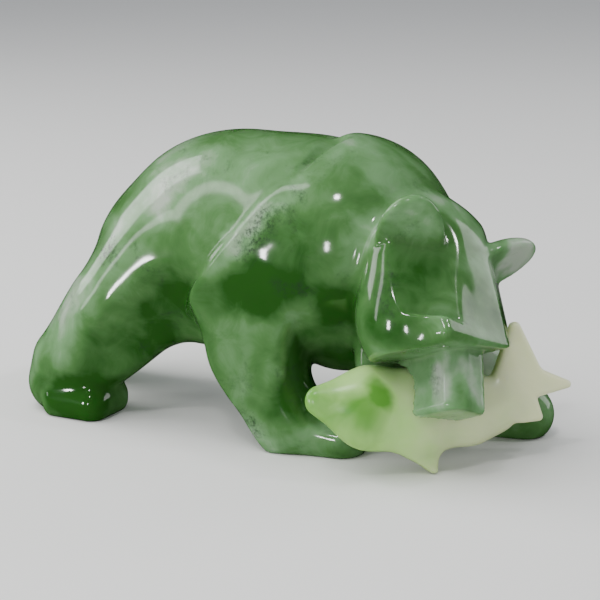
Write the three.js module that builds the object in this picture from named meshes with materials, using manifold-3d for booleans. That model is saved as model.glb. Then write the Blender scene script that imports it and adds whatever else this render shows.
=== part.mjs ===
// Carved stone bear with a fish crosswise in its mouth. Millimetres, +Z up, the bear faces +X.
// The origin is on the ground, in the middle of the carving.
import { BufferAttribute, BufferGeometry, Group, Matrix4, Mesh, MeshStandardMaterial, Vector3 } from 'three';
import Module from 'manifold-3d';

// Driving dimensions
const bearLength = 162;
const muzzleLength = 17;
const muzzleWidth = 13;
const muzzleHeight = 24;
const muzzleChamfer = 3;
const earHeight = 14.6;
const earWidth = 17.6;
const earThickness = 5.9;
const browWidth = 32;
const pawHeight = 9.5;
const shoulderStep = 3;
const spineNotch = 4;
const fishLength = 74;
const fishDepth = 22;
const fishThickness = 13.8;
const finThickness = 3.8;
const seatClearance = 0.5;
const finToGround = 0.3;
const bearCell = 2.9;
const fishCell = 2;
const bearFaces = 7600;
const fishFaces = 1500;

// The bear's pose and proportions are shares of its length: places and radii are given in
// units, 162 along the bear, and grow with bearLength. The fish is 74 units long and 22 deep.
const bearShare = bearLength / 162;
const fishShare = fishLength / 74;
const at = (x, y, z) => new Vector3(x, y, z).multiplyScalar(bearShare);
const mm = (size) => size * bearShare;

// Head frame: u runs to the nose, v to the bear's left, w to the crown
const headPlace = at(46.2, -11, 47.5);
const headTurn = { yaw: -14, pitch: 68, swing: -23 };

// Fish frame: u runs from its head to its tail, v up, w out of its near side
const fishPlace = at(50.8, -19.2, 15.1);
const fishTurn = { yaw: 44, lean: 14 };

const radians = (degrees) => (degrees * Math.PI) / 180;
const direction = (x, y, z) => new Vector3(x, y, z).normalize();

// Frames

function frameFrom(origin, turn) {
  const [u, v, w] = [new Vector3(), new Vector3(), new Vector3()];
  turn.extractBasis(u, v, w);
  return { origin, u, v, w };
}

function headFrame() {
  const turn = new Matrix4().makeRotationZ(radians(headTurn.yaw));
  turn.multiply(new Matrix4().makeRotationY(radians(headTurn.pitch)));
  turn.multiply(new Matrix4().makeRotationZ(radians(headTurn.swing)));
  return frameFrom(headPlace, turn);
}

function fishFrame() {
  const yaw = radians(fishTurn.yaw);
  const u = new Vector3(Math.cos(yaw), Math.sin(yaw), 0);
  const side = new Vector3(Math.sin(yaw), -Math.cos(yaw), 0);
  const v = new Vector3(0, 0, Math.cos(radians(fishTurn.lean)));
  v.addScaledVector(side, -Math.sin(radians(fishTurn.lean)));
  const w = new Vector3().crossVectors(u, v);
  return { origin: fishPlace, u, v, w };
}

const tipped = (degrees) => new Matrix4().makeRotationY(radians(degrees));

// Forms: each is a function of a point that gives the distance to a surface, below zero inside

function within(frame, form) {
  const { origin, u, v, w } = frame;
  return (x, y, z) => {
    const [a, b, c] = [x - origin.x, y - origin.y, z - origin.z];
    return form(a * u.x + b * u.y + c * u.z, a * v.x + b * v.y + c * v.z, a * w.x + b * w.y + c * w.z);
  };
}

function ellipsoid(centre, radii) {
  return (x, y, z) => {
    const [a, b, c] = [(x - centre.x) / radii.x, (y - centre.y) / radii.y, (z - centre.z) / radii.z];
    const reach = Math.hypot(a, b, c);
    const slope = Math.hypot(a / radii.x, b / radii.y, c / radii.z);
    return (reach * (reach - 1)) / Math.max(slope, 1e-9);
  };
}

function turnedEllipsoid(centre, radii, turn) {
  return within(frameFrom(centre, turn), ellipsoid(new Vector3(), radii));
}

// Two balls and the straight taper that joins them
function taper(start, end, startRadius, endRadius) {
  const along = new Vector3().subVectors(end, start);
  const square = along.lengthSq();
  const shrink = startRadius - endRadius;
  const side = square - shrink * shrink;
  return (x, y, z) => {
    const [a, b, c] = [x - start.x, y - start.y, z - start.z];
    const run = a * along.x + b * along.y + c * along.z;
    const past = run - square;
    const off = (a * square - along.x * run) ** 2 + (b * square - along.y * run) ** 2
      + (c * square - along.z * run) ** 2;
    const edge = Math.sign(shrink) * shrink * shrink * off;
    if (Math.sign(past) * side * past * past * square > edge) {
      return Math.sqrt(off + past * past * square) / square - endRadius;
    }
    if (Math.sign(run) * side * run * run * square < edge) {
      return Math.sqrt(off + run * run * square) / square - startRadius;
    }
    return (Math.sqrt((off * side) / square) + run * shrink) / square - startRadius;
  };
}

function roundedBox(centre, half, rounding) {
  return (x, y, z) => {
    const a = Math.abs(x - centre.x) - half.x + rounding;
    const b = Math.abs(y - centre.y) - half.y + rounding;
    const c = Math.abs(z - centre.z) - half.z + rounding;
    const outside = Math.hypot(Math.max(a, 0), Math.max(b, 0), Math.max(c, 0));
    return outside + Math.min(Math.max(a, b, c), 0) - rounding;
  };
}

// The half of space behind a plane whose normal points out of the stone
function behind(point, normal) {
  return (x, y, z) => (x - point.x) * normal.x + (y - point.y) * normal.y + (z - point.z) * normal.z;
}

function softLow(a, b, reach) {
  const overlap = Math.max(reach - Math.abs(a - b), 0) / reach;
  return Math.min(a, b) - (overlap * overlap * reach) / 4;
}

const softHigh = (a, b, reach) => -softLow(-a, -b, reach);

function blend(reach, first, ...others) {
  return (x, y, z) => others.reduce((value, form) => softLow(value, form(x, y, z), reach), first(x, y, z));
}

function common(reach, first, ...others) {
  return (x, y, z) => others.reduce((value, form) => softHigh(value, form(x, y, z), reach), first(x, y, z));
}

const outsideOf = (form) => (x, y, z) => -form(x, y, z);
const carvedFrom = (reach, form, tool) => common(reach, form, outsideOf(tool));
const bothSides = (form) => (x, y, z) => form(x, Math.abs(y), z);
const raised = (form, height) => (x, y, z) => form(x, y, z) - height;

function nearHindLeg() {
  const thigh = turnedEllipsoid(at(-48.5, -17, 33), at(14, 12.5, 27), tipped(38));
  const shank = taper(at(-44, -14, 33), at(-58, -18, 14), mm(15), mm(9.3));
  const hock = taper(at(-52.5, -18, 28.5), at(-66.3, -18.5, 14.6), mm(10.5), mm(10));
  return blend(mm(6), thigh, shank, hock);
}

// A long heel with a stepped toe block in front
function nearHindFoot() {
  const sole = taper(at(-68.5, -18.5, 8), at(-59, -19.5, 6), mm(9.6), mm(8.5));
  const toeHalf = new Vector3(mm(10.5), mm(10), pawHeight / 2 + 0.8);
  const toe = roundedBox(at(-59.8, -19.5, 0).setZ(pawHeight / 2 - 0.8), toeHalf, mm(5));
  return blend(mm(1.5), sole, toe);
}

function farHindLeg() {
  const thigh = turnedEllipsoid(at(-55, 12, 33), at(15, 12, 27), tipped(38));
  const shank = taper(at(-69, 12, 23), at(-80, 12, 10), mm(12), mm(10.6));
  const sole = taper(at(-82, 12, 7.5), at(-74, 12, 6), mm(9.6), mm(8.5));
  return blend(mm(4), blend(mm(8), thigh, shank), sole);
}

// Near foreleg: carved square, with one crisp edge between its outer and its front face
function nearForeleg() {
  const arm = taper(at(-4, -20, 42), at(-2, -20.5, 22), mm(17), mm(12.6));
  const wrist = taper(at(-2, -20.5, 22), at(5, -20, 8), mm(12.6), mm(10.5));
  const paw = taper(at(6, -20, 7), at(22, -19, 4), mm(10), mm(7.5));
  const outerFace = behind(at(0, -30.5, 0), direction(0, -1, 0.03));
  const rearFace = behind(at(-12.5, -25, 20), direction(-0.78, 0, -0.62));
  const leg = common(mm(2), blend(mm(5), blend(mm(4), arm, wrist), paw), outerFace, rearFace);
  const frontFace = outsideOf(behind(at(11.3, -30, 20), direction(0.96, -0.2, 0.03)));
  const abovePaw = outsideOf(behind(at(20, -30, 5.3), direction(0, -0.3, 0.95)));
  return carvedFrom(mm(0.8), leg, common(mm(14), frontFace, abovePaw));
}

function farForeleg() {
  const arm = taper(at(14, 15, 44), at(38, 17, 22), mm(16), mm(12));
  const wrist = taper(at(38, 17, 22), at(54, 18, 9), mm(12), mm(10));
  const paw = taper(at(52, 18, 8), at(61, 18, 6), mm(9.5), mm(8));
  return blend(mm(4), arm, wrist, paw);
}

// Two flat cuts meet in a valley below one corner of each hip
function hipCuts() {
  const hipCorner = at(-29.4, 27.3, 50);
  const thighCut = outsideOf(behind(hipCorner, direction(0.49, 0.81, -0.32)));
  const flankCut = outsideOf(behind(hipCorner, direction(-0.155, 0.88, -0.45)));
  return bothSides(common(mm(4), thighCut, flankCut));
}

function hindquarters() {
  const trunk = taper(at(-41, 0, 42), at(6, 0, 51.5), mm(21.5), mm(30.5));
  const back = ellipsoid(at(-15, 0, 52), at(40, 27, 30.5));
  const hips = ellipsoid(at(-35, 0, 46), at(25, 27, 21.5));
  const whole = blend(mm(5), blend(mm(6), trunk, back, hips), nearHindLeg(), farHindLeg());
  return blend(mm(2.5), carvedFrom(mm(0.8), whole, hipCuts()), nearHindFoot());
}

// Shoulders, chest and neck stand proud of the back along a straight slanting edge
function forequarters() {
  const shoulders = taper(at(-12, 0, 50), at(14, 0, 53.5), mm(26.5) + shoulderStep, mm(26.5) + shoulderStep);
  const neck = taper(at(17, 0, 56), at(40, -6, 49), mm(26), mm(16.5));
  const chest = ellipsoid(at(14, 0, 35), at(20, 17, 17.5));
  const upperArm = ellipsoid(at(7, -12, 50), at(19, 17, 20));
  let form = blend(mm(4), shoulders, blend(mm(6), neck, chest), nearForeleg());
  form = blend(mm(5), form, upperArm);
  form = blend(mm(4), form, farForeleg());
  const rearEdge = behind(at(-20, 0, 42), direction(-0.788, 0, 0.616));
  return common(mm(3), form, rearEdge);
}

function body() {
  const whole = blend(mm(1.5), hindquarters(), forequarters());
  const notch = taper(at(13, -4.5, 84.9), at(9.6, -19.3, 76.4), spineNotch, spineNotch / 5);
  return carvedFrom(mm(1), whole, notch);
}

// An ear with one flat face: its root, the way it points and the way its face looks
function ear(origin, reach, facing) {
  facing.addScaledVector(reach, -facing.dot(reach)).normalize();
  const root = { origin, u: new Vector3().crossVectors(reach, facing), v: reach, w: facing };
  const faceOffset = earThickness * 0.19;
  const shell = ellipsoid(new Vector3(), new Vector3(earWidth / 2, earHeight, earThickness - faceOffset));
  const flat = behind(new Vector3(0, 0, faceOffset), new Vector3(0, 0, 1));
  return within(root, common(mm(0.8), shell, flat));
}

// A flat plane cuts each eye; the near one ends at a ledge, where the cheek rolls out again
function withEyePlanes(form) {
  const eyeSide = behind(at(0, 10.7, 10.9), direction(-0.173, 0.55, 0.835));
  const ledge = behind(at(15.4, 0, 0), direction(0.98, 0.1, -0.08));
  const nearCut = bothSides(common(mm(0.6), outsideOf(eyeSide), ledge));
  return carvedFrom(mm(0.8), common(mm(0.8), form, eyeSide), nearCut);
}

function muzzle(root) {
  const half = new Vector3(muzzleLength, muzzleWidth / 2, muzzleHeight / 2);
  const centre = new Vector3(root, 0, mm(11.5) - muzzleHeight / 2);
  const corner = new Vector3(0, muzzleWidth / 2 - muzzleChamfer, mm(11.5));
  const chamfer = bothSides(behind(corner, direction(0, 0.8, 0.6)));
  const lip = behind(at(34.6, 0, -4.6), direction(0.289, 0, -0.957));
  return common(mm(0.5), roundedBox(centre, half, mm(1.4)), chamfer, lip);
}

function head() {
  const skull = ellipsoid(at(1, 0, -1), at(25, 23, 15));
  const browHalf = new Vector3(mm(18), browWidth / 2, mm(12));
  const brow = within(frameFrom(at(6.5, 0, 0.3), tipped(-16.2)), roundedBox(new Vector3(), browHalf, mm(2.2)));
  const cheeks = bothSides(ellipsoid(at(12, 12, -1), at(14.5, 11.5, 13.5)));
  const jaw = ellipsoid(at(15, 0, -21), at(15, 8, 6));
  let form = blend(mm(5), blend(mm(4), skull, brow), cheeks);
  const front = behind(at(20.2, 0, 0), direction(1, 0.12, 0));
  form = common(mm(0.6), withEyePlanes(form), front, behind(at(19.2, 8, 0), direction(1, 0.5, 0)));
  form = blend(mm(6), blend(mm(0.8), form, muzzle(mm(19))), jaw);
  const nearEar = ear(at(-6.9, -16.2, 4.6), direction(-0.517, -0.53, 0.68), direction(0.85, -0.39, 0.34));
  const farEar = ear(at(-5.9, 13, 7.5), direction(-0.424, 0.848, 0.318), direction(0.83, 0.224, 0.51));
  return within(headFrame(), blend(mm(1.2), form, nearEar, farEar));
}

// Fish: a deep body, with the forked tail and two fins as flat plates
function fish() {
  const place = (u, v) => new Vector3(u, v, 0).multiplyScalar(fishShare);
  const flatten = fishDepth / fishThickness;
  const deep = fishDepth / 22;
  const spine = [
    [place(-32.4, 6), 4 * fishShare], [place(-19, 3), 10.4 * deep], [place(-6, 0.8), 11 * deep],
    [place(8, 0.2), 8.8 * deep], [place(15, 0.6), 6.6 * deep], [place(19, 2), 4.6 * deep],
  ];
  const links = spine.slice(1).map(([end, radius], index) => {
    const [start, startRadius] = spine[index];
    return taper(start, end, startRadius, radius);
  });
  const trunk = blend(3 * fishShare, ...links);
  const plates = [
    [place(22.4, 7.7), place(22.6, 20.7), 6.8, 1.5], [place(24.4, 6.1), place(36.3, 4.6), 4.8, 1.1],
    [place(23.4, -0.3), place(27.4, -3.3), 4.3, 1.2], [place(-6, -7), place(-2.9, -14.8), 5, 0.9],
  ].map(([start, end, startRadius, endRadius]) => taper(start, end, startRadius * fishShare, endRadius * fishShare));
  const outline = blend(1.2 * fishShare, ...plates);
  const form = (u, v, w) => {
    const fins = softHigh(outline(u, v, 0), Math.abs(w) - finThickness / 2, 1.6);
    return softLow((trunk(u, v, w * flatten) / flatten) * 1.2, fins, 2);
  };
  return within(fishFrame(), form);
}

// Surfaces

function gradientAt(form, x, y, z, step) {
  const gradient = new Vector3();
  for (const [a, b, c] of [[1, -1, -1], [-1, -1, 1], [-1, 1, -1], [1, 1, 1]]) {
    const value = form(x + a * step, y + b * step, z + c * step);
    gradient.x += a * value;
    gradient.y += b * value;
    gradient.z += c * value;
  }
  return gradient.multiplyScalar(1 / (4 * step));
}

function settle(form, points, rounds, limit) {
  for (let round = 0; round < rounds; round += 1) {
    for (const point of points) {
      const value = form(point.x, point.y, point.z);
      const gradient = gradientAt(form, point.x, point.y, point.z, 0.1);
      const move = value / Math.max(gradient.lengthSq(), 0.05);
      point.addScaledVector(gradient, -Math.sign(move) * Math.min(Math.abs(move), limit));
    }
  }
}

// Each cube of a lattice is split into six tetrahedra about one diagonal
const cubeTetrahedra = [[0, 1, 3, 7], [0, 3, 2, 7], [0, 2, 6, 7], [0, 6, 4, 7], [0, 4, 5, 7], [0, 5, 1, 7]];

function latticeSurface(form, low, high, cell) {
  const counts = ['x', 'y', 'z'].map((axis) => Math.ceil((high[axis] - low[axis]) / cell) + 1);
  const [across, deep, tall] = counts;
  const nodeAt = (i, j, k) => i + across * (j + deep * k);
  const values = new Float64Array(across * deep * tall);
  const placeOf = (node) => {
    const i = node % across;
    const j = Math.floor(node / across) % deep;
    const k = Math.floor(node / (across * deep));
    return new Vector3(low.x + i * cell, low.y + j * cell, low.z + k * cell);
  };
  for (let node = 0; node < values.length; node += 1) {
    const place = placeOf(node);
    values[node] = form(place.x, place.y, place.z);
  }
  const points = [];
  const faces = [];
  const onEdge = new Map();
  const crossing = (a, b) => {
    const key = Math.min(a, b) * values.length + Math.max(a, b);
    if (!onEdge.has(key)) {
      const [from, to] = a < b ? [a, b] : [b, a];
      const share = Math.min(Math.max(values[from] / (values[from] - values[to]), 0.15), 0.85);
      onEdge.set(key, points.length);
      points.push(placeOf(from).lerp(placeOf(to), share));
    }
    return onEdge.get(key);
  };
  const addFace = (a, b, c, inside) => {
    const normal = new Vector3().subVectors(points[b], points[a]);
    normal.cross(new Vector3().subVectors(points[c], points[a]));
    const outwards = normal.dot(new Vector3().subVectors(points[a], inside)) > 0;
    faces.push(outwards ? [a, b, c] : [a, c, b]);
  };
  const splitTetrahedron = (corners) => {
    const inner = corners.filter((node) => values[node] < 0);
    const outer = corners.filter((node) => values[node] >= 0);
    if (inner.length === 0 || outer.length === 0) return;
    const inside = placeOf(inner[0]);
    if (inner.length === 2) {
      const ring = [
        crossing(inner[0], outer[0]), crossing(inner[0], outer[1]),
        crossing(inner[1], outer[1]), crossing(inner[1], outer[0]),
      ];
      const heart = inside.clone().lerp(placeOf(inner[1]), 0.5);
      addFace(ring[0], ring[1], ring[2], heart);
      addFace(ring[0], ring[2], ring[3], heart);
      return;
    }
    const [lone, rest] = inner.length === 1 ? [inner[0], outer] : [outer[0], inner];
    const [a, b, c] = rest.map((node) => crossing(lone, node));
    if (inner.length === 1) addFace(a, b, c, inside);
    else addFace(a, b, c, points[a].clone().multiplyScalar(2).sub(placeOf(lone)));
  };
  for (let k = 0; k < tall - 1; k += 1) {
    for (let j = 0; j < deep - 1; j += 1) {
      for (let i = 0; i < across - 1; i += 1) {
        const corners = [0, 1, 2, 3, 4, 5, 6, 7]
          .map((corner) => nodeAt(i + (corner & 1), j + ((corner >> 1) & 1), k + (corner >> 2)));
        const below = corners.filter((node) => values[node] < 0).length;
        if (below === 0 || below === 8) continue;
        for (const tetrahedron of cubeTetrahedra) splitTetrahedron(tetrahedron.map((corner) => corners[corner]));
      }
    }
  }
  return { points, faces };
}

function neighboursOf(points, faces) {
  const neighbours = points.map(() => new Set());
  for (const [a, b, c] of faces) {
    neighbours[a].add(b).add(c);
    neighbours[b].add(a).add(c);
    neighbours[c].add(a).add(b);
  }
  return neighbours;
}

function relax(form, { points, faces }, rounds, cell) {
  const neighbours = neighboursOf(points, faces);
  for (let round = 0; round < rounds; round += 1) {
    const moved = points.map((point, index) => {
      const mean = new Vector3();
      for (const other of neighbours[index]) mean.add(points[other]);
      return mean.multiplyScalar(1 / neighbours[index].size).lerp(point, 0.4);
    });
    points.forEach((point, index) => point.copy(moved[index]));
    settle(form, points, 2, cell / 2);
  }
}

// A quadric holds the true surface planes around a point, as the upper half of a symmetric matrix
function surfacePlanes(form, points, faces) {
  const quadrics = points.map(() => new Float64Array(10));
  for (const face of faces) {
    const [a, b, c] = face.map((index) => points[index]);
    const area = new Vector3().subVectors(b, a).cross(new Vector3().subVectors(c, a)).length();
    const centre = new Vector3().add(a).add(b).add(c).multiplyScalar(1 / 3);
    settle(form, [centre], 1, 2);
    const normal = gradientAt(form, centre.x, centre.y, centre.z, 0.1).normalize();
    const [x, y, z, d] = [normal.x, normal.y, normal.z, -normal.dot(centre)];
    const terms = [x * x, x * y, x * z, x * d, y * y, y * z, y * d, z * z, z * d, d * d];
    for (const index of face) terms.forEach((term, slot) => { quadrics[index][slot] += term * area; });
  }
  return quadrics;
}

function quadricCost(q, { x, y, z }) {
  return q[0] * x * x + 2 * q[1] * x * y + 2 * q[2] * x * z + 2 * q[3] * x + q[4] * y * y
    + 2 * q[5] * y * z + 2 * q[6] * y + q[7] * z * z + 2 * q[8] * z + q[9];
}

// The point nearest to all planes of a quadric, held lightly to a middle point
function bestPoint(q, middlePoint) {
  const hold = 0.02 * (q[0] + q[4] + q[7]) + 1e-9;
  const [a, b, c, d, e, f] = [q[0] + hold, q[1], q[2], q[4] + hold, q[5], q[7] + hold];
  const [r, s, t] = [hold * middlePoint.x - q[3], hold * middlePoint.y - q[6], hold * middlePoint.z - q[8]];
  const [m0, m1, m2] = [d * f - e * e, c * e - b * f, b * e - c * d];
  const determinant = a * m0 + b * m1 + c * m2;
  return new Vector3(
    m0 * r + m1 * s + m2 * t,
    m1 * r + (a * f - c * c) * s + (b * c - a * e) * t,
    m2 * r + (b * c - a * e) * s + (a * d - b * b) * t,
  ).multiplyScalar(1 / determinant);
}

// Points near a crease move onto it
function sharpen(form, { points, faces }, rounds, limit) {
  for (let round = 0; round < rounds; round += 1) {
    const quadrics = surfacePlanes(form, points, faces);
    points.forEach((point, index) => {
      const move = bestPoint(quadrics[index], point).sub(point);
      point.add(move.clampLength(0, limit));
    });
  }
}

// Edges are drawn together, flattest first, until only the wanted number of faces is left
function simplify(form, { points, faces }, wanted) {
  const quadrics = surfacePlanes(form, points, faces);
  const around = points.map(() => new Set());
  faces.forEach((face, index) => face.forEach((corner) => around[corner].add(index)));
  let left = faces.length;
  const normalOf = (a, b, c) => new Vector3().subVectors(b, a).cross(new Vector3().subVectors(c, a));
  const ringOf = (corner) => {
    const ring = new Set();
    for (const index of around[corner]) faces[index].forEach((other) => ring.add(other));
    ring.delete(corner);
    return ring;
  };
  const turnsOver = (corner, gone, target) => {
    for (const index of around[corner]) {
      const face = faces[index];
      if (face.includes(gone)) continue;
      const before = face.map((other) => points[other]);
      const after = face.map((other) => (other === corner ? target : points[other]));
      const [was, is] = [normalOf(...before), normalOf(...after)];
      const longest = Math.max(after[0].distanceToSquared(after[1]), after[1].distanceToSquared(after[2]),
        after[2].distanceToSquared(after[0]));
      if (was.dot(is) < 0.35 * was.length() * is.length() || is.length() < 0.16 * longest) return true;
    }
    return false;
  };
  const drawTogether = (keep, gone, limit) => {
    const sum = quadrics[keep].map((term, index) => term + quadrics[gone][index]);
    const target = bestPoint(sum, points[keep].clone().lerp(points[gone], 0.5));
    const short = points[keep].distanceToSquared(points[gone]) * 1e-4;
    if (quadricCost(sum, target) + short > limit) return;
    const ring = ringOf(gone);
    const shared = [...ringOf(keep)].filter((other) => ring.has(other));
    if (shared.length !== 2 || turnsOver(keep, gone, target) || turnsOver(gone, keep, target)) return;
    for (const index of around[gone]) {
      const face = faces[index];
      if (face.includes(keep)) {
        face.forEach((corner) => { if (corner !== gone) around[corner].delete(index); });
        faces[index] = null;
        left -= 1;
      } else {
        face[face.indexOf(gone)] = keep;
        around[keep].add(index);
      }
    }
    around[gone].clear();
    points[keep].copy(target);
    quadrics[keep] = sum;
  };
  for (let limit = 1e-4; left > wanted && limit < 1e4; limit *= 1.35) {
    for (let index = 0; index < faces.length && left > wanted; index += 1) {
      for (let side = 0; side < 3 && faces[index]; side += 1) {
        drawTogether(faces[index][side], faces[index][(side + 1) % 3], limit);
      }
    }
  }
  const kept = faces.filter(Boolean);
  const renamed = new Map();
  const order = [];
  for (const corner of kept.flat()) {
    if (!renamed.has(corner)) {
      renamed.set(corner, order.length);
      order.push(points[corner]);
    }
  }
  return { points: order, faces: kept.map((face) => face.map((corner) => renamed.get(corner))) };
}

function surfaceOf(form, low, high, cell, faceCount) {
  const fine = latticeSurface(form, low, high, cell);
  settle(form, fine.points, 3, cell / 2);
  relax(form, fine, 3, cell);
  sharpen(form, fine, 3, cell / 3);
  const coarse = simplify(form, fine, faceCount);
  settle(form, coarse.points, 2, cell / 12);
  return coarse;
}

// Solids

const wasm = await Module();
wasm.setup();

function solidOf({ points, faces }) {
  const vertProperties = new Float32Array(points.flatMap((point) => [point.x, point.y, point.z]));
  return new wasm.Manifold(new wasm.Mesh({ numProp: 3, vertProperties, triVerts: new Uint32Array(faces.flat()) }));
}

function block(low, high) {
  const points = [0, 1, 2, 3, 4, 5, 6, 7].map((corner) => new Vector3(
    corner & 1 ? high.x : low.x, corner & 2 ? high.y : low.y, corner & 4 ? high.z : low.z));
  const sides = [[0, 2, 3, 1], [4, 5, 7, 6], [0, 1, 5, 4], [2, 6, 7, 3], [0, 4, 6, 2], [1, 3, 7, 5]];
  return { points, faces: sides.flatMap(([a, b, c, d]) => [[a, b, c], [a, c, d]]) };
}

function geometryOf(solid, middle) {
  const mesh = solid.getMesh();
  const positions = new Float32Array(mesh.numVert * 3);
  for (let index = 0; index < mesh.numVert; index += 1) {
    const start = index * mesh.numProp;
    positions.set(mesh.vertProperties.slice(start, start + 3), index * 3);
  }
  const geometry = new BufferGeometry();
  geometry.setAttribute('position', new BufferAttribute(positions, 3));
  geometry.setIndex(new BufferAttribute(mesh.triVerts, 1));
  geometry.translate(-middle.x, -middle.y, 0);
  geometry.computeVertexNormals();
  return geometry;
}

const room = { low: at(-100, -48, -14), high: at(82, 38, 92) };
const bearForm = blend(mm(3.5), body(), head());
const fishForm = fish();
const fishReach = new Vector3(1, 1, 1).multiplyScalar(fishLength * 0.62);
const fishRoom = { low: fishPlace.clone().sub(fishReach), high: fishPlace.clone().add(fishReach) };
const ground = (top) => solidOf(block(new Vector3(-1, -1, -1).multiplyScalar(bearLength),
  new Vector3(bearLength, bearLength, top)));

const fishSolid = solidOf(surfaceOf(fishForm, fishRoom.low, fishRoom.high, fishCell, fishFaces))
  .subtract(ground(finToGround));
const seat = solidOf(surfaceOf(raised(fishForm, seatClearance), fishRoom.low, fishRoom.high, fishCell, fishFaces));
const bearSolid = solidOf(surfaceOf(bearForm, room.low, room.high, bearCell, bearFaces))
  .subtract(ground(0)).subtract(seat);

// The origin lies under the middle of the box around both pieces
function middleOf(solids) {
  const boxes = solids.map((solid) => solid.boundingBox());
  const mean = (axis) => (Math.min(...boxes.map((box) => box.min[axis]))
    + Math.max(...boxes.map((box) => box.max[axis]))) / 2;
  return new Vector3(mean(0), mean(1), 0);
}

const middle = middleOf([bearSolid, fishSolid]);

function piece(name, solid, color, roughness) {
  const material = new MeshStandardMaterial({ color, roughness, metalness: 0 });
  const mesh = new Mesh(geometryOf(solid, middle), material);
  mesh.name = name;
  return mesh;
}

const carving = new Group();
carving.add(piece('bear', bearSolid, 0x3f7d3c, 0.12));
carving.add(piece('fish', fishSolid, 0xb4bd8c, 0.2));

export default carving;
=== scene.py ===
import math
import bmesh
import bpy
import numpy as np
from mathutils import Matrix, Vector


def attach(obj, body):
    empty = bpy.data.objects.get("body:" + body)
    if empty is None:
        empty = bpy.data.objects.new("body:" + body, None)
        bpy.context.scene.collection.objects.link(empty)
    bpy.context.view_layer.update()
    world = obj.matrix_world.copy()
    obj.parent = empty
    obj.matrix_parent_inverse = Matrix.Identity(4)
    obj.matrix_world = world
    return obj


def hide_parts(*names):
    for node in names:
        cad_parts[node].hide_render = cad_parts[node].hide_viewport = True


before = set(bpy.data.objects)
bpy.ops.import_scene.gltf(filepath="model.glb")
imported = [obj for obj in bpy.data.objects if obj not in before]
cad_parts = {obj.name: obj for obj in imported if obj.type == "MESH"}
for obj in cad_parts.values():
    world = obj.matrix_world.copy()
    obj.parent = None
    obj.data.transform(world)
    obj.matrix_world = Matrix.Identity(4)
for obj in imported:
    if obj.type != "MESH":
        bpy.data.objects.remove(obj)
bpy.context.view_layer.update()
print("frame loaded")

# Places and radii are in millimetres in the carver's own frame: ground at z 0, the bear faces +x.
# carving["middle"] is where that frame's ground point lies under the middle of the model's box.
carving = {
    "middle": (-7.199, -6.492, 0.0), "millimetre": 0.001,
    "firstRounds": 3, "rounds": 2, "relaxShare": 0.6,
}


# Forms: each takes an (n, 3) array of points and gives distances to a surface, below zero inside
def ellipsoid(centre, radii):
    centre, radii = np.array(centre, float), np.array(radii, float)

    def form(points):
        scaled = (points - centre) / radii
        reach = np.linalg.norm(scaled, axis=1)
        slope = np.linalg.norm(scaled / radii, axis=1)
        return reach * (reach - 1) / np.maximum(slope, 1e-9)
    return form


def taper(start, end, startRadius, endRadius):  # two balls and the straight taper between them
    start, end = np.array(start, float), np.array(end, float)
    along = end - start
    square = along @ along
    shrink = startRadius - endRadius
    side = square - shrink * shrink

    def form(points):
        away = points - start
        run = away @ along
        past = run - square
        off = ((away * square - np.outer(run, along)) ** 2).sum(axis=1)
        edge = np.sign(shrink) * shrink * shrink * off
        beyond = np.sign(past) * side * past * past * square > edge
        before = ~beyond & (np.sign(run) * side * run * run * square < edge)
        distance = (np.sqrt(off * side / square) + run * shrink) / square - startRadius
        distance = np.where(beyond, np.sqrt(off + past * past * square) / square - endRadius, distance)
        return np.where(before, np.sqrt(off + run * run * square) / square - startRadius, distance)
    return form


def roundedBox(centre, half, rounding):
    centre, half = np.array(centre, float), np.array(half, float)

    def form(points):
        over = np.abs(points - centre) - half + rounding
        outside = np.linalg.norm(np.maximum(over, 0), axis=1)
        return outside + np.minimum(over.max(axis=1), 0) - rounding
    return form


def behind(point, normal):  # the half of space behind a plane whose normal points out of the stone
    point, normal = np.array(point, float), np.array(normal, float)
    normal /= np.linalg.norm(normal)
    return lambda points: (points - point) @ normal


def softLow(a, b, reach):
    overlap = np.maximum(reach - np.abs(a - b), 0) / reach
    return np.minimum(a, b) - overlap * overlap * reach / 4


def softHigh(a, b, reach):
    return -softLow(-a, -b, reach)


def blend(reach, first, *others):
    def form(points):
        value = first(points)
        for other in others:
            value = softLow(value, other(points), reach)
        return value
    return form


def outsideOf(shape):
    return lambda points: -shape(points)


def common(reach, first, *others):
    return outsideOf(blend(reach, outsideOf(first), *[outsideOf(other) for other in others]))


def carvedFrom(reach, shape, tool):
    return common(reach, shape, outsideOf(tool))


def bothSides(shape):
    return lambda points: shape(points * (1, 0, 1) + np.abs(points) * (0, 1, 0))


def raised(shape, height):
    return lambda points: shape(points) - height


def within(origin, axes, shape):  # axes: a matrix whose columns are the inner frame's directions
    origin, axes = np.array(origin, float), np.array(axes, float)
    return lambda points: shape((points - origin) @ axes)


def turnAbout(axis, degrees):
    return np.array(Matrix.Rotation(math.radians(degrees), 3, axis))


# Bear, as the CAD solid has it
bear = {
    "head": (46.2, -11, 47.5), "headYaw": -14, "headPitch": 68, "headSwing": -23,
    "muzzleLength": 17, "muzzleWidth": 13, "muzzleHeight": 24, "muzzleChamfer": 3,
    "earHeight": 14.6, "earWidth": 17.6, "earThickness": 5.9, "browWidth": 32,
    "pawHeight": 9.5, "shoulderStep": 3, "spineNotch": 4,
    "voxel": 0.75, "smoothing": 4,
}


def nearHindLeg():
    thigh = within((-48.5, -17, 33), turnAbout("Y", 38), ellipsoid((0, 0, 0), (14, 12.5, 27)))
    shank = taper((-44, -14, 33), (-58, -18, 14), 15, 9.3)
    return blend(6, thigh, shank, taper((-52.5, -18, 28.5), (-66.3, -18.5, 14.6), 10.5, 10))


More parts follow.
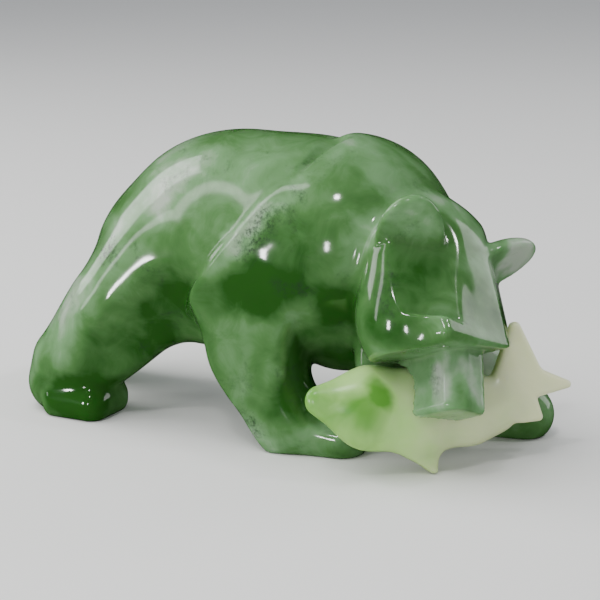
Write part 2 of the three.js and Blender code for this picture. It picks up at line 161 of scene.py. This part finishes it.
def nearHindFoot():  # a long heel with a stepped toe block in front
    sole = taper((-68.5, -18.5, 8), (-59, -19.5, 6), 9.6, 8.5)
    half = (10.5, 10, bear["pawHeight"] / 2 + 0.8)
    return blend(1.5, sole, roundedBox((-59.8, -19.5, bear["pawHeight"] / 2 - 0.8), half, 5))


def farHindLeg():
    thigh = within((-55, 12, 33), turnAbout("Y", 38), ellipsoid((0, 0, 0), (15, 12, 27)))
    shank = taper((-69, 12, 23), (-80, 12, 10), 12, 10.6)
    return blend(4, blend(8, thigh, shank), taper((-82, 12, 7.5), (-74, 12, 6), 9.6, 8.5))


def nearForeleg():  # carved square, with one crisp edge between its outer and its front face
    arm = taper((-4, -20, 42), (-2, -20.5, 22), 17, 12.6)
    wrist = taper((-2, -20.5, 22), (5, -20, 8), 12.6, 10.5)
    paw = taper((6, -20, 7), (22, -19, 4), 10, 7.5)
    leg = common(2, blend(5, blend(4, arm, wrist), paw), behind((0, -30.5, 0), (0, -1, 0.03)),
                 behind((-12.5, -25, 20), (-0.78, 0, -0.62)))
    frontFace = outsideOf(behind((11.3, -30, 20), (0.96, -0.2, 0.03)))
    abovePaw = outsideOf(behind((20, -30, 5.3), (0, -0.3, 0.95)))
    return carvedFrom(0.8, leg, common(14, frontFace, abovePaw))


def farForeleg():
    arm = taper((14, 15, 44), (38, 17, 22), 16, 12)
    wrist = taper((38, 17, 22), (54, 18, 9), 12, 10)
    return blend(4, arm, wrist, taper((52, 18, 8), (61, 18, 6), 9.5, 8))


def hindquarters():
    trunk = taper((-41, 0, 42), (6, 0, 51.5), 21.5, 30.5)
    back = ellipsoid((-15, 0, 52), (40, 27, 30.5))
    hips = ellipsoid((-35, 0, 46), (25, 27, 21.5))
    whole = blend(5, blend(6, trunk, back, hips), nearHindLeg(), farHindLeg())
    hipCorner = (-29.4, 27.3, 50)  # two flat cuts meet in a valley below this point of each hip
    thighCut = outsideOf(behind(hipCorner, (0.49, 0.81, -0.32)))
    flankCut = outsideOf(behind(hipCorner, (-0.155, 0.88, -0.45)))
    return blend(2.5, carvedFrom(0.8, whole, bothSides(common(4, thighCut, flankCut))), nearHindFoot())


def forequarters():
    shoulderRadius = 26.5 + bear["shoulderStep"]
    shoulders = taper((-12, 0, 50), (14, 0, 53.5), shoulderRadius, shoulderRadius)
    neck = taper((17, 0, 56), (40, -6, 49), 26, 16.5)
    chest = ellipsoid((14, 0, 35), (20, 17, 17.5))
    form = blend(4, shoulders, blend(6, neck, chest), nearForeleg())
    form = blend(5, form, ellipsoid((7, -12, 50), (19, 17, 20)))
    form = blend(4, form, farForeleg())
    return common(3, form, behind((-20, 0, 42), (-0.788, 0, 0.616)))


def ear(root, reach, facing):  # an ear with a flat face
    reach, facing = np.array(reach, float), np.array(facing, float)
    reach /= np.linalg.norm(reach)
    facing -= reach * (facing @ reach)
    facing /= np.linalg.norm(facing)
    offset = bear["earThickness"] * 0.19
    radii = (bear["earWidth"] / 2, bear["earHeight"], bear["earThickness"] - offset)
    shell = common(0.8, ellipsoid((0, 0, 0), radii), behind((0, 0, offset), (0, 0, 1)))
    return within(root, np.stack([np.cross(reach, facing), reach, facing], axis=1), shell)


def head():
    skull = ellipsoid((1, 0, -1), (25, 23, 15))
    browBox = roundedBox((0, 0, 0), (18, bear["browWidth"] / 2, 12), 2.2)
    brow = within((6.5, 0, 0.3), turnAbout("Y", -16.2), browBox)
    cheeks = bothSides(ellipsoid((12, 12, -1), (14.5, 11.5, 13.5)))
    eyeSide = behind((0, 10.7, 10.9), (-0.173, 0.55, 0.835))
    ledge = behind((15.4, 0, 0), (0.98, 0.1, -0.08))  # the near eye's plane ends here
    form = common(0.8, blend(5, blend(4, skull, brow), cheeks), eyeSide)
    form = carvedFrom(0.8, form, bothSides(common(0.6, outsideOf(eyeSide), ledge)))
    form = common(0.6, form, behind((20.2, 0, 0), (1, 0.12, 0)), behind((19.2, 8, 0), (1, 0.5, 0)))
    half = (bear["muzzleLength"], bear["muzzleWidth"] / 2, bear["muzzleHeight"] / 2)
    corner = (0, bear["muzzleWidth"] / 2 - bear["muzzleChamfer"], 11.5)
    chamfer = bothSides(behind(corner, (0, 0.8, 0.6)))
    lip = behind((34.6, 0, -4.6), (0.289, 0, -0.957))
    muzzle = common(0.5, roundedBox((19, 0, 11.5 - half[2]), half, 1.4), chamfer, lip)
    form = blend(6, blend(0.8, form, muzzle), ellipsoid((15, 0, -21), (15, 8, 6)))
    nearEar = ear((-6.9, -16.2, 4.6), (-0.517, -0.53, 0.68), (0.85, -0.39, 0.34))
    farEar = ear((-5.9, 13, 7.5), (-0.424, 0.848, 0.318), (0.83, 0.224, 0.51))
    yaw, pitch, swing = bear["headYaw"], bear["headPitch"], bear["headSwing"]
    turn = turnAbout("Z", yaw) @ turnAbout("Y", pitch) @ turnAbout("Z", swing)
    return within(bear["head"], turn, blend(1.2, form, nearEar, farEar))


def wholeBear():
    body = blend(1.5, hindquarters(), forequarters())
    notch = taper((13, -4.5, 84.9), (9.6, -19.3, 76.4), bear["spineNotch"], bear["spineNotch"] / 5)
    form = blend(3.5, carvedFrom(1, body, notch), head())
    form = common(0.4, form, behind((0, 0, 0), (0, 0, -1)))
    return common(0.3, form, outsideOf(raised(fishForm(), fish["seatClearance"])))


# Fish: a deep body, with the forked tail and two fins as flat plates
fish = {
    "place": (50.8, -19.2, 15.1), "yaw": 44, "lean": 14, "length": 74,
    "depth": 22, "thickness": 13.8, "finThickness": 3.8, "seatClearance": 0.5, "finToGround": 0.3,
    "voxel": 0.5, "smoothing": 4,
}


def fishForm():
    yaw, lean = math.radians(fish["yaw"]), math.radians(fish["lean"])
    along = np.array((math.cos(yaw), math.sin(yaw), 0))
    side = np.array((math.sin(yaw), -math.cos(yaw), 0))
    up = np.array((0, 0, math.cos(lean))) - side * math.sin(lean)
    axes = np.stack([along, up, np.cross(along, up)], axis=1)
    flatten = fish["depth"] / fish["thickness"]
    spine = [(-32.4, 6, 4), (-19, 3, 10.4), (-6, 0.8, 11), (8, 0.2, 8.8), (15, 0.6, 6.6), (19, 2, 4.6)]
    links = [taper((*a[:2], 0), (*b[:2], 0), a[2], b[2]) for a, b in zip(spine, spine[1:])]
    trunk = blend(3, *links)
    plates = [  # the tail's three points and the belly fin
        (22.4, 7.7, 22.6, 20.7, 6.8, 1.5), (24.4, 6.1, 36.3, 4.6, 4.8, 1.1),
        (23.4, -0.3, 27.4, -3.3, 4.3, 1.2), (-6, -7, -2.9, -14.8, 5, 0.9),
    ]
    outline = blend(1.2, *[taper((a, b, 0), (c, d, 0), r, s) for a, b, c, d, r, s in plates])

    def form(points):
        fins = softHigh(outline(points * (1, 1, 0)), np.abs(points[:, 2]) - fish["finThickness"] / 2, 1.6)
        return softLow(trunk(points * (1, 1, flatten)) / flatten * 1.2, fins, 2)
    return within(fish["place"], axes, form)


def wholeFish():
    return common(0.4, fishForm(), behind((0, 0, fish["finToGround"]), (0, 0, -1)))


# Meshes: the CAD solid is remeshed finely, then every point is brought onto the carved surface
def settle(form, points, rounds, limit):
    step = 0.05  # mm
    for _ in range(rounds):
        value = form(points)
        gradient = np.zeros_like(points)
        for corner in ((1, -1, -1), (-1, -1, 1), (-1, 1, -1), (1, 1, 1)):
            gradient += form(points + np.array(corner) * step)[:, None] * corner
        gradient /= 4 * step
        move = np.clip(value / np.maximum((gradient ** 2).sum(axis=1), 0.05), -limit, limit)
        points = points - gradient * move[:, None]
    return points


def relax(points, edges, share):
    total = np.zeros_like(points)
    count = np.zeros(len(points))
    for a, b in ((0, 1), (1, 0)):
        np.add.at(total, edges[:, a], points[edges[:, b]])
        np.add.at(count, edges[:, a], 1)
    return points * (1 - share) + total / count[:, None] * share


def fineCarving(name, node, form, values):
    mesh = bpy.data.meshes.new(name)
    loose = bmesh.new()
    loose.from_mesh(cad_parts[node].data)
    bmesh.ops.remove_doubles(loose, verts=loose.verts, dist=1e-6)
    loose.to_mesh(mesh)
    loose.free()
    piece = bpy.data.objects.new(name, mesh)
    bpy.context.scene.collection.objects.link(piece)
    remesh = piece.modifiers.new("fine", "REMESH")
    remesh.mode = "VOXEL"
    remesh.voxel_size = values["voxel"] * carving["millimetre"]
    evaluated = piece.evaluated_get(bpy.context.evaluated_depsgraph_get())
    fine = bpy.data.meshes.new_from_object(evaluated)
    piece.modifiers.remove(remesh)
    piece.data = fine
    fine.name = name
    points = np.empty(len(fine.vertices) * 3)
    fine.vertices.foreach_get("co", points)
    points = points.reshape(-1, 3) / carving["millimetre"] + carving["middle"]
    edges = np.empty(len(fine.edges) * 2, int)
    fine.edges.foreach_get("vertices", edges)
    edges = edges.reshape(-1, 2)
    points = settle(form, points, carving["firstRounds"], values["voxel"])
    for _ in range(values["smoothing"]):
        eased = relax(points, edges, carving["relaxShare"])
        points = settle(form, eased, carving["rounds"], values["voxel"])
    points = (points - carving["middle"]) * carving["millimetre"]
    fine.vertices.foreach_set("co", points.ravel())
    fine.polygons.foreach_set("use_smooth", np.ones(len(fine.polygons), bool))
    fine.update()
    print(name, "carved:", len(fine.polygons), "faces")
    return piece


# Materials
def linear(code):  # sRGB hex to linear
    parts = [int(code[i:i + 2], 16) / 255 for i in (1, 3, 5)]
    return tuple(c / 12.92 if c <= 0.04045 else ((c + 0.055) / 1.055) ** 2.4 for c in parts) + (1.0,)


def addNode(tree, kind, settings=None, links=None):
    node = tree.nodes.new(kind)
    for name, value in (settings or {}).items():
        if isinstance(name, int) or name in node.inputs:
            node.inputs[name].default_value = value
        else:
            setattr(node, name, value)
    for name, source in (links or {}).items():
        tree.links.new(source, node.inputs[name])
    return node


def newMaterial(name):
    material = bpy.data.materials.new(name)
    material.use_nodes = True
    material.node_tree.nodes.clear()
    return material, material.node_tree


def setStops(ramp, stops):  # stops are places along the ramp with their colours
    elements = ramp.color_ramp.elements
    while len(elements) < len(stops):
        elements.new(0.5)
    for element, (place, code) in zip(elements, stops):
        element.position = place
        element.color = linear(code)


def perMetre(sizeMm):  # the scale of a noise that swells and fades once in this many millimetres
    return 1000.0 / sizeMm


patchEdge = {"full": 0.35, "gone": 1.25}  # shares of an oval's radius where its weight is full and none


def patches(tree, place, spots):  # summed weights of soft ovals, each round a line on the carving
    total = None
    for start, end, radius, weight in spots:
        start, end = Vector(start), Vector(end)
        middle = ((start + end) / 2 - Vector(carving["middle"])) * carving["millimetre"]
        wide = radius * carving["millimetre"]
        long = (end - start).length / 2 * carving["millimetre"] + wide
        turn = (end - start).to_track_quat("X", "Z").to_euler()
        inside = addNode(tree, "ShaderNodeMapping", {
            "vector_type": "TEXTURE", "Location": middle, "Rotation": turn, "Scale": (long, wide, wide)},
            {"Vector": place}).outputs["Vector"]
        away = addNode(tree, "ShaderNodeVectorMath", {"operation": "LENGTH"}, {0: inside}).outputs["Value"]
        soft = addNode(tree, "ShaderNodeMapRange", {
            "interpolation_type": "SMOOTHSTEP", "From Min": patchEdge["gone"],
            "From Max": patchEdge["full"], "To Max": weight},
            {"Value": away}).outputs[0]
        if total is None:
            total = soft
        else:
            total = addNode(tree, "ShaderNodeMath", links={0: total, 1: soft}).outputs[0]
    return total


def wavered(tree, place, sizeMm, reachMm):  # the place, pushed about by a soft noise
    push = addNode(tree, "ShaderNodeTexNoise", {
        "Scale": perMetre(sizeMm), "Detail": 3.0, "Roughness": 0.6}, {"Vector": place}).outputs["Color"]
    centred = addNode(tree, "ShaderNodeVectorMath", {"operation": "SUBTRACT", 1: (0.5, 0.5, 0.5)},
                      {0: push}).outputs[0]
    reach = reachMm * carving["millimetre"] * 2
    scaled = addNode(tree, "ShaderNodeVectorMath", {"operation": "SCALE", "Scale": reach},
                     {0: centred}).outputs[0]
    return addNode(tree, "ShaderNodeVectorMath", {"operation": "ADD"}, {0: place, 1: scaled}).outputs[0]


# Polished nephrite: a tough fibrous stone, waxy and slightly see-through. The eye sees a deep
# green, smoky streaks of dark mineral grains, and a glassy polish; its milky veils along the ridges
# are reflections, painted into the colour here as painted light. Each noise has its size in mm,
# detail, roughness and distortion. The real grains are 0.3 to 0.6 mm wide, and a noise of 1.2 mm
# draws them at the top of that range, so that they show.
greenNephrite = {
    "stops": [(0.4, "#224f1a"), (0.6, "#4c7441"), (0.78, "#6f9669"), (0.96, "#a7b3a2")],
    "noises": {
        "cloud": (34, 3.0, 0.55, 0.6), "mottle": (9, 5.0, 0.6, 0.9),
        "streak": (13, 4.0, 0.65, 1.2), "grain": (1.2, 3.0, 0.7, 0.0),
    },
    "mottleShare": 0.3, "waverMm": 14, "waverReachMm": 7,
    "fleck": "#2b302d", "fleckStrength": 0.85, "gathering": (0.57, 0.78), "graining": (0.4, 0.68),
    "roughness": 0.1, "ior": 1.61, "glow": 0.4, "glowDepth": 0.004, "glowColor": (0.35, 1.0, 0.3),
    "paintedLighting": [  # painted light and shade: paler ovals are painted reflection veils on ridges and lit faces, deeper ovals are painted shade in hollows, under the head and on inner faces: start, end, radius in mm, weight
        ((-47, -20, 54), (-19, -16, 76), 7, 0.16), ((-63, -29, 20), (-53, -26, 44), 8, 0.22),
        ((-10, -30, 51), (9, -24, 71), 5, 0.22), ((44, -8, 69), (56, -6, 60), 7, 0.24),
        ((32, -24, 66), (26, -27, 52), 6, 0.16), ((60, -14, 52), (60, 2, 44), 7, 0.3),
        ((42, -30, 70), (48, -25, 66), 6, 0.16), ((56, -33, 32), (56, -32, 22), 5, 0.2),
        ((62, -29, 32), (66, -27, 22), 4, 0.2), ((60, 12, 48), (64, 1, 58), 6, 0.34),
        ((-8, -30, 43), (14, -30, 46), 8, -0.24), ((4, -31, 50), (14, -28, 60), 10, -0.16),
        ((12, -22, 28), (12, -24, 10), 10, -0.3), ((-62, -29, 6), (-50, -27, 7), 8, -0.24),
        ((-25, -23, 36), (-35, -23, 26), 10, -0.17), ((27, -25, 50), (21, -12, 24), 9, -0.26),
        ((48, -30, 54), (56, -26, 46), 9, -0.12), ((44, -38, 41), (56, -36, 41), 7, -0.18),
        ((20, -20, 74), (34, -20, 66), 7, -0.14), ((62, 14, 8), (72, 10, 6), 8, 0.06),
    ],
    "smoke": [  # where dark grains gather
        ((-2, -29, 56), (10, -26, 68), 6, 0.22), ((-49, -24, 53), (-44, -26, 46), 5, 0.3),
        ((42, -34, 57), (45, -35, 46), 4, 0.3), ((10, -30, 47), (16, -29, 46), 5, 0.26),
        ((-3, -30, 8), (2, -30, 6), 5, 0.22), ((54, -33, 30), (56, -32, 25), 4, 0.18),
    ],
}


def makeGreenNephrite():
    values = greenNephrite
    material, tree = newMaterial("polished green nephrite")
    place = addNode(tree, "ShaderNodeTexCoord").outputs["Object"]
    pushed = wavered(tree, place, values["waverMm"], values["waverReachMm"])
    fields = {}
    for field, (sizeMm, detail, roughness, distortion) in values["noises"].items():
        fields[field] = addNode(tree, "ShaderNodeTexNoise", {
            "Scale": perMetre(sizeMm), "Detail": detail, "Roughness": roughness,
            "Distortion": distortion}, {"Vector": place}).outputs["Fac"]
    mixed = addNode(tree, "ShaderNodeMath", {"operation": "MULTIPLY_ADD", 1: values["mottleShare"]},
                    {0: fields["mottle"], 2: fields["cloud"]}).outputs[0]
    # Painted light and shade: these ovals lighten the colour into painted reflection veils and darken it
    # into painted shade in hollows. depth is the stone's random tone plus this painted lighting.
    paintedLighting = patches(tree, pushed, values["paintedLighting"])
    depth = addNode(tree, "ShaderNodeMath", links={0: mixed, 1: paintedLighting}).outputs[0]
    ramp = addNode(tree, "ShaderNodeValToRGB", links={"Fac": depth})
    setStops(ramp, values["stops"])
    smoke = patches(tree, pushed, values["smoke"])
    gathered = addNode(tree, "ShaderNodeMath", links={0: fields["streak"], 1: smoke}).outputs[0]
    cluster = addNode(tree, "ShaderNodeMapRange", {
        "From Min": values["gathering"][0], "From Max": values["gathering"][1],
        "To Max": values["fleckStrength"]}, {"Value": gathered}).outputs[0]
    grains = addNode(tree, "ShaderNodeMapRange", {
        "From Min": values["graining"][0], "From Max": values["graining"][1]},
        {"Value": fields["grain"]}).outputs[0]
    fleck = addNode(tree, "ShaderNodeMath", {"operation": "MULTIPLY"}, {0: cluster, 1: grains}).outputs[0]
    color = addNode(tree, "ShaderNodeMix", {"data_type": "RGBA", 7: linear(values["fleck"])},
                    {0: fleck, 6: ramp.outputs["Color"]}).outputs[2]
    polish(tree, values, color)
    return material


def polish(tree, values, color):  # the polish and the faint glow from inside, over the stone's colour
    shader = addNode(tree, "ShaderNodeBsdfPrincipled", {
        "Roughness": values["roughness"], "IOR": values["ior"], "Subsurface Weight": values["glow"],
        "Subsurface Radius": values["glowColor"], "Subsurface Scale": values["glowDepth"]},
        {"Base Color": color})
    addNode(tree, "ShaderNodeOutputMaterial", links={"Surface": shader.outputs["BSDF"]})


# Pale celadon jade, polished less brightly: apple green at the head, milky and yellowish at the tail
paleJade = {
    "stops": [(0.0, "#5c9c36"), (0.26, "#acd880"), (0.62, "#cddaa8"), (0.95, "#e2e6bc")],
    "mottleMm": 14, "mottleShare": 0.5, "shift": 0.3, "waverMm": 9, "waverReachMm": 3,
    "roughness": 0.28, "ior": 1.61, "glow": 0.5, "glowDepth": 0.005, "glowColor": (0.9, 1.0, 0.5),
    "paintedLighting": [  # painted shade on the fish's head beside the bear's muzzle, deeper green: start, end, radius in mm, weight
        ((39, -36, 27), (43, -35, 22), 3.5, -0.26), ((37, -38, 20), (46, -35, 14), 7, -0.13),
    ],
}


def makePaleJade():
    values = paleJade
    material, tree = newMaterial("polished celadon jade")
    place = addNode(tree, "ShaderNodeTexCoord").outputs["Object"]
    middle = (Vector(fish["place"]) - Vector(carving["middle"])) * carving["millimetre"]
    length = fish["length"] * carving["millimetre"]
    along = addNode(tree, "ShaderNodeMapping", {
        "vector_type": "TEXTURE", "Location": middle, "Rotation": (0, 0, math.radians(fish["yaw"])),
        "Scale": (length, length, length)}, {"Vector": place}).outputs["Vector"]
    run = addNode(tree, "ShaderNodeSeparateXYZ", links={"Vector": along}).outputs["X"]
    mottle = addNode(tree, "ShaderNodeTexNoise", {
        "Scale": perMetre(values["mottleMm"]), "Detail": 3.0, "Roughness": 0.5, "Distortion": 0.7},
        {"Vector": place}).outputs["Fac"]
    mixed = addNode(tree, "ShaderNodeMath", {"operation": "MULTIPLY_ADD", 1: values["mottleShare"]},
                    {0: mottle, 2: run}).outputs[0]
    pushed = wavered(tree, place, values["waverMm"], values["waverReachMm"])
    # Painted shade: these ovals darken the fish's head where the bear's muzzle overhangs it, on top of its
    # own tone.
    paintedLighting = patches(tree, pushed, values["paintedLighting"])
    depth = addNode(tree, "ShaderNodeMath", links={0: mixed, 1: paintedLighting}).outputs[0]
    shifted = addNode(tree, "ShaderNodeMath", {1: values["shift"]}, {0: depth}).outputs[0]
    ramp = addNode(tree, "ShaderNodeValToRGB", links={"Fac": shifted})
    setStops(ramp, values["stops"])
    polish(tree, values, ramp.outputs["Color"])
    return material


def makeBackdrop():
    material, tree = newMaterial("matte pale paper")
    shader = addNode(tree, "ShaderNodeBsdfPrincipled", {
        "Base Color": linear(studio["floorColor"]), "Roughness": studio["floorRoughness"]})
    addNode(tree, "ShaderNodeOutputMaterial", links={"Surface": shader.outputs["BSDF"]})
    return material


# Studio: the stone reflects only the lamps, as it would in a dark room
studio = {
    "azimuth": 27, "elevation": 14, "distance": 0.5, "target": (0.0072, 0.00649, 0.0355),
    "viewWidth": 0.168, "sensorWidth": 36, "clipStart": 0.01,
    "floorSize": 6.0, "floorColor": "#ecebe8", "floorRoughness": 0.9,
    "skyColor": "#d0d4da", "skyStrength": 0.75,
}
lamps = {  # the overhead softbox lights the stone but stays out of its reflections
    "overhead softbox": {"azimuth": -40, "elevation": 66, "distance": 0.9, "size": (0.8, 0.8), "power": 6,
                         "reflected": False},
    "left softbox": {"azimuth": -88, "elevation": 30, "distance": 1.0, "size": (0.4, 0.7), "power": 4},
    "front strip": {"azimuth": -56, "elevation": 30, "distance": 1.0, "size": (0.1, 1.0), "power": 1.4},
    "right softbox": {"azimuth": 140, "elevation": 20, "distance": 1.0, "size": (0.5, 0.6), "power": 2},
    "front lamp": {"azimuth": 6, "elevation": 56, "distance": 1.1, "size": (0.08, 0.08), "power": 1.6},
    "right lamp": {"azimuth": 101, "elevation": 54, "distance": 1.1, "size": (0.08, 0.08), "power": 1.4},
    "low left lamp": {"azimuth": -27, "elevation": 6, "distance": 1.0, "size": (0.08, 0.18), "power": 2.6},
    "low front lamp": {"azimuth": 5, "elevation": 6, "distance": 1.0, "size": (0.05, 0.15), "power": 1.2},
}


def towards(azimuth, elevation):  # azimuth 0 looks along +y, with +x to the right
    a, e = math.radians(azimuth), math.radians(elevation)
    return Vector((math.sin(a) * math.cos(e), -math.cos(a) * math.cos(e), math.sin(e)))


def aimed(thing, direction, distance):
    target = Vector(studio["target"])
    thing.location = target + direction * distance
    thing.rotation_euler = direction.to_track_quat("Z", "Y").to_euler()
    bpy.context.scene.collection.objects.link(thing)
    return thing


def makeCamera():
    lens = bpy.data.cameras.new("camera")
    lens.sensor_width = studio["sensorWidth"]
    lens.lens = lens.sensor_width * studio["distance"] / studio["viewWidth"]
    lens.clip_start = studio["clipStart"]
    direction = towards(studio["azimuth"], studio["elevation"])
    camera = aimed(bpy.data.objects.new("camera", lens), direction, studio["distance"])
    bpy.context.scene.camera = camera


def makeLamps():
    for name, values in lamps.items():
        light = bpy.data.lights.new(name, "AREA")
        light.shape = "RECTANGLE"
        light.size, light.size_y = values["size"]
        light.energy = values["power"]
        direction = towards(values["azimuth"], values["elevation"])
        lamp = aimed(bpy.data.objects.new(name, light), direction, values["distance"])
        lamp.visible_glossy = values.get("reflected", True)


def makeStudio():
    half = studio["floorSize"] / 2
    mesh = bpy.data.meshes.new("floor")
    corners = [(-half, -half, 0), (half, -half, 0), (half, half, 0), (-half, half, 0)]
    mesh.from_pydata(corners, [], [(0, 1, 2, 3)])
    floor = bpy.data.objects.new("floor", mesh)
    bpy.context.scene.collection.objects.link(floor)
    mesh.materials.append(makeBackdrop())
    floor.visible_glossy = False  # the pale floor would wash out the deep greens
    world = bpy.data.worlds.new("studio")
    world.use_nodes = True
    sky = world.node_tree.nodes["Background"]
    sky.inputs["Color"].default_value = linear(studio["skyColor"])
    sky.inputs["Strength"].default_value = studio["skyStrength"]
    world.cycles_visibility.glossy = False  # and so would the sky
    bpy.context.scene.world = world


makeCamera()
makeLamps()
makeStudio()
print("studio set")

for name, node, form, values, makeMaterial, slot in [
        ("carved_bear", "bear", wholeBear(), bear, makeGreenNephrite, "bear_stone"),
        ("carved_fish", "fish", wholeFish(), fish, makePaleJade, "fish_stone")]:
    piece = fineCarving(name, node, form, values)
    piece.data.materials.clear()
    piece.data.materials.append(makeMaterial())
    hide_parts(node)
    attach(piece, "root")
print("carving finished")
